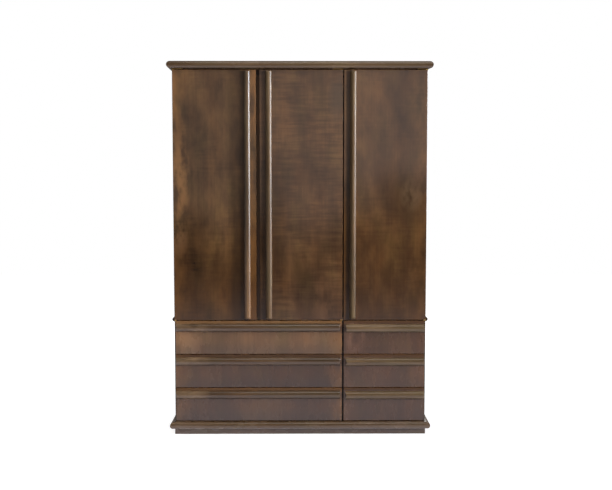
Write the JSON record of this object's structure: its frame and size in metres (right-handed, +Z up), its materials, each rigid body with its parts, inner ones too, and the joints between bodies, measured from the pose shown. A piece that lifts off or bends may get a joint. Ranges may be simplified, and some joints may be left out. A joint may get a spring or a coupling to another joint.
{
  "type": "wardrobe with doors and drawers",
  "caption": "Tall dark hardwood wardrobe: pivot-hung doors with full-height D-section rails over two columns of drawers, between bullnose crown and base mouldings.",
  "frame": {"origin": "on the floor at the centre of the footprint of crown and base", "axes": "+Z up, -Y towards the front with the doors and drawers, +X to the right seen from the front"},
  "size_m": [1.566, 0.6, 2.23],
  "materials": {
    "door_wood": "dark stained hardwood, satin lacquer, vertical grain",
    "drawer_front_wood": "dark stained hardwood, satin lacquer, vertical grain",
    "handle_wood": "dark stained hardwood, satin lacquer, grain along the length",
    "moulding_wood": "dark stained hardwood, satin lacquer, grain along the length",
    "carcass_wood": "dark stained hardwood, satin lacquer",
    "drawer_box_wood": "plain hardwood, waxed",
    "back_panel_wood": "stained plywood, matt",
    "hinge_brass": "satin",
    "socket_brass": "satin",
    "catch_plastic": "matt brown"
  },
  "bodies": {
    "carcass": {"plinth": "moulding_wood", "base_moulding_front": "moulding_wood", "base_moulding_left": "moulding_wood", "base_moulding_right": "moulding_wood", "base_panel": "carcass_wood", "lower_side_left": "carcass_wood", "lower_side_right": "carcass_wood", "lower_divider": "carcass_wood", "mid_board": "moulding_wood", "upper_side_left": "carcass_wood", "upper_side_right": "carcass_wood", "upper_divider": "carcass_wood", "centre_post": "carcass_wood", "top_rail": "carcass_wood", "top_panel": "carcass_wood", "crown_front": "moulding_wood", "crown_left": "moulding_wood", "crown_right": "moulding_wood", "back_upper": "back_panel_wood", "back_lower": "back_panel_wood", "clothes_rail": "drawer_box_wood", "rail_sockets": "socket_brass", "shelves": "carcass_wood", "shelf_battens": "drawer_box_wood", "drawer_runners": "drawer_box_wood", "pivot_plates": "hinge_brass", "door_catches": "catch_plastic"},
    "door_left": {"door_left_panel": "door_wood", "door_left_rail": "handle_wood", "door_left_fittings": "hinge_brass"},
    "door_middle": {"door_middle_panel": "door_wood", "door_middle_rail": "handle_wood", "door_middle_fittings": "hinge_brass"},
    "door_right": {"door_right_panel": "door_wood", "door_right_rail": "handle_wood", "door_right_fittings": "hinge_brass"},
    "drawer_left_lower": {"drawer_left_lower_front": "drawer_front_wood", "drawer_left_lower_pull": "handle_wood", "drawer_left_lower_box": "drawer_box_wood", "drawer_left_lower_bottom": "drawer_box_wood"},
    "drawer_left_middle": {"drawer_left_middle_front": "drawer_front_wood", "drawer_left_middle_pull": "handle_wood", "drawer_left_middle_box": "drawer_box_wood", "drawer_left_middle_bottom": "drawer_box_wood"},
    "drawer_left_upper": {"drawer_left_upper_front": "drawer_front_wood", "drawer_left_upper_pull": "handle_wood", "drawer_left_upper_box": "drawer_box_wood", "drawer_left_upper_bottom": "drawer_box_wood"},
    "drawer_right_lower": {"drawer_right_lower_front": "drawer_front_wood", "drawer_right_lower_pull": "handle_wood", "drawer_right_lower_box": "drawer_box_wood", "drawer_right_lower_bottom": "drawer_box_wood"},
    "drawer_right_middle": {"drawer_right_middle_front": "drawer_front_wood", "drawer_right_middle_pull": "handle_wood", "drawer_right_middle_box": "drawer_box_wood", "drawer_right_middle_bottom": "drawer_box_wood"},
    "drawer_right_upper": {"drawer_right_upper_front": "drawer_front_wood", "drawer_right_upper_pull": "handle_wood", "drawer_right_upper_box": "drawer_box_wood", "drawer_right_upper_bottom": "drawer_box_wood"}
  },
  "joints": [
    {"name": "door_left_hinge", "type": "hinge", "parent": "carcass", "child": "door_left", "pos_m": [-0.747, -0.265, 0.698], "axis": [0, 0, -1], "range_deg": [0, 110]},
    {"name": "door_middle_hinge", "type": "hinge", "parent": "carcass", "child": "door_middle", "pos_m": [0.24733, -0.265, 0.698], "axis": [0, 0, 1], "range_deg": [0, 95]},
    {"name": "door_right_hinge", "type": "hinge", "parent": "carcass", "child": "door_right", "pos_m": [0.747, -0.265, 0.698], "axis": [0, 0, 1], "range_deg": [0, 110]},
    {"name": "drawer_left_lower_slide", "type": "slide", "parent": "carcass", "child": "drawer_left_lower", "axis": [0, -1, 0], "range_m": [0, 0.38]},
    {"name": "drawer_left_middle_slide", "type": "slide", "parent": "carcass", "child": "drawer_left_middle", "axis": [0, -1, 0], "range_m": [0, 0.38]},
    {"name": "drawer_left_upper_slide", "type": "slide", "parent": "carcass", "child": "drawer_left_upper", "axis": [0, -1, 0], "range_m": [0, 0.38]},
    {"name": "drawer_right_lower_slide", "type": "slide", "parent": "carcass", "child": "drawer_right_lower", "axis": [0, -1, 0], "range_m": [0, 0.38]},
    {"name": "drawer_right_middle_slide", "type": "slide", "parent": "carcass", "child": "drawer_right_middle", "axis": [0, -1, 0], "range_m": [0, 0.38]},
    {"name": "drawer_right_upper_slide", "type": "slide", "parent": "carcass", "child": "drawer_right_upper", "axis": [0, -1, 0], "range_m": [0, 0.38]}
  ]
}
